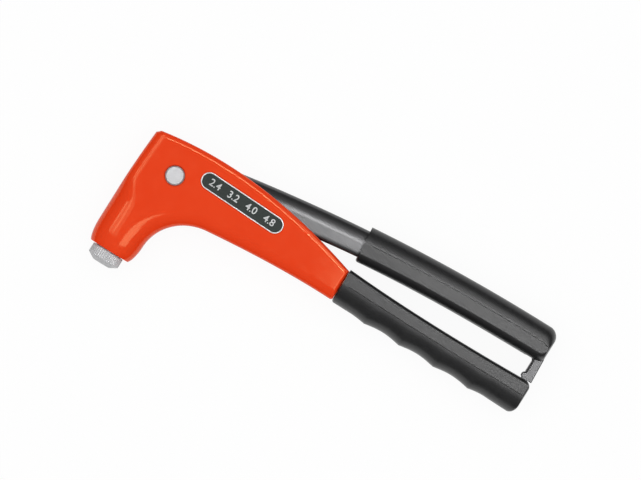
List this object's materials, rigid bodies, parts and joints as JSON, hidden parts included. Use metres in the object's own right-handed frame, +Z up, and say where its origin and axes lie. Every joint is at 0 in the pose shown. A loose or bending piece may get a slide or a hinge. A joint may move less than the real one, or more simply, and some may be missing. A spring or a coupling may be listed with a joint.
{
  "type": "hand riveter",
  "caption": "Hand riveter with a cast body, a folded steel lever, soft sleeves on the handles, a knurled nosepiece and a storage latch; squeezing the lever pulls the jaws.",
  "frame": {"origin": "centre of the nose tip, on the middle plane of the tool", "axes": "+X along the fixed handle, +Y along the nose axis away from the tip, +Z up through the thickness, with the tool lying on its side"},
  "size_m": [0.2611, 0.106, 0.0256],
  "materials": {
    "paint": "glossy orange-red paint",
    "bright_steel": "bright plated steel",
    "inner_steel": "turned steel",
    "spring_steel": "dark spring steel",
    "lever_steel": "satin grey steel",
    "latch_steel": "satin grey steel",
    "jaw_steel": "hardened steel",
    "grip": "black moulded sleeve",
    "badge_rim": "polished rim",
    "badge_field": "dark field"
  },
  "bodies": {
    "frame": {"body": "paint", "nosepiece": "bright_steel", "barrel_sleeve": "inner_steel", "fixed_grip": "grip", "badge_plate": "badge_rim", "badge_inlay": "badge_field", "pivot_pin": "bright_steel", "pivot_clip": "spring_steel", "spring_seat": "inner_steel", "latch_catch_pin": "bright_steel", "return_spring": "spring_steel"},
    "lever": {"lever_arm": "lever_steel", "lever_grip": "grip", "latch_pin": "bright_steel"},
    "latch": {"latch": "latch_steel"},
    "jaw_carriage": {"jaw_case": "inner_steel", "pull_tube": "inner_steel"},
    "jaw_1_body": {"jaw_1": "jaw_steel"},
    "jaw_2_body": {"jaw_2": "jaw_steel"},
    "jaw_3_body": {"jaw_3": "jaw_steel"},
    "pusher": {"jaw_pusher": "inner_steel"}
  },
  "joints": [
    {"name": "lever_pivot", "type": "hinge", "parent": "frame", "child": "lever", "pos_m": [0.0098, 0.0653, 0], "axis": [0, 0, 1], "range_deg": [0, 30]},
    {"name": "latch_swing", "type": "hinge", "parent": "lever", "child": "latch", "pos_m": [0.2393, 0.0924, 0], "axis": [0, 0, 1], "range_deg": [-4, 75]},
    {"name": "jaw_pull", "type": "slide", "parent": "frame", "child": "jaw_carriage", "axis": [0, -1, 0], "range_m": [0, 0.0051], "deforming": ["return_spring"]},
    {"name": "pusher_slide", "type": "slide", "parent": "jaw_carriage", "child": "pusher", "axis": [0, 1, 0], "range_m": [0, 0.00125]},
    {"name": "jaw_1_slide", "type": "slide", "parent": "jaw_carriage", "child": "jaw_1_body", "axis": [0.1908, 0.9816, 0], "range_m": [0, 0.00125]},
    {"name": "jaw_2_slide", "type": "slide", "parent": "jaw_carriage", "child": "jaw_2_body", "axis": [-0.0954, 0.9816, 0.1652], "range_m": [0, 0.00125]},
    {"name": "jaw_3_slide", "type": "slide", "parent": "jaw_carriage", "child": "jaw_3_body", "axis": [-0.0954, 0.9816, -0.1652], "range_m": [0, 0.00125]}
  ],
  "couplings": [
    {"joint": "jaw_pull", "follows": "lever_pivot", "m_per_rad": 0.0096884},
    {"joint": "pusher_slide", "follows": "lever_pivot", "m_per_rad": 0.0022918},
    {"joint": "jaw_1_slide", "follows": "lever_pivot", "m_per_rad": 0.0023347},
    {"joint": "jaw_2_slide", "follows": "lever_pivot", "m_per_rad": 0.0023347},
    {"joint": "jaw_3_slide", "follows": "lever_pivot", "m_per_rad": 0.0023347}
  ]
}
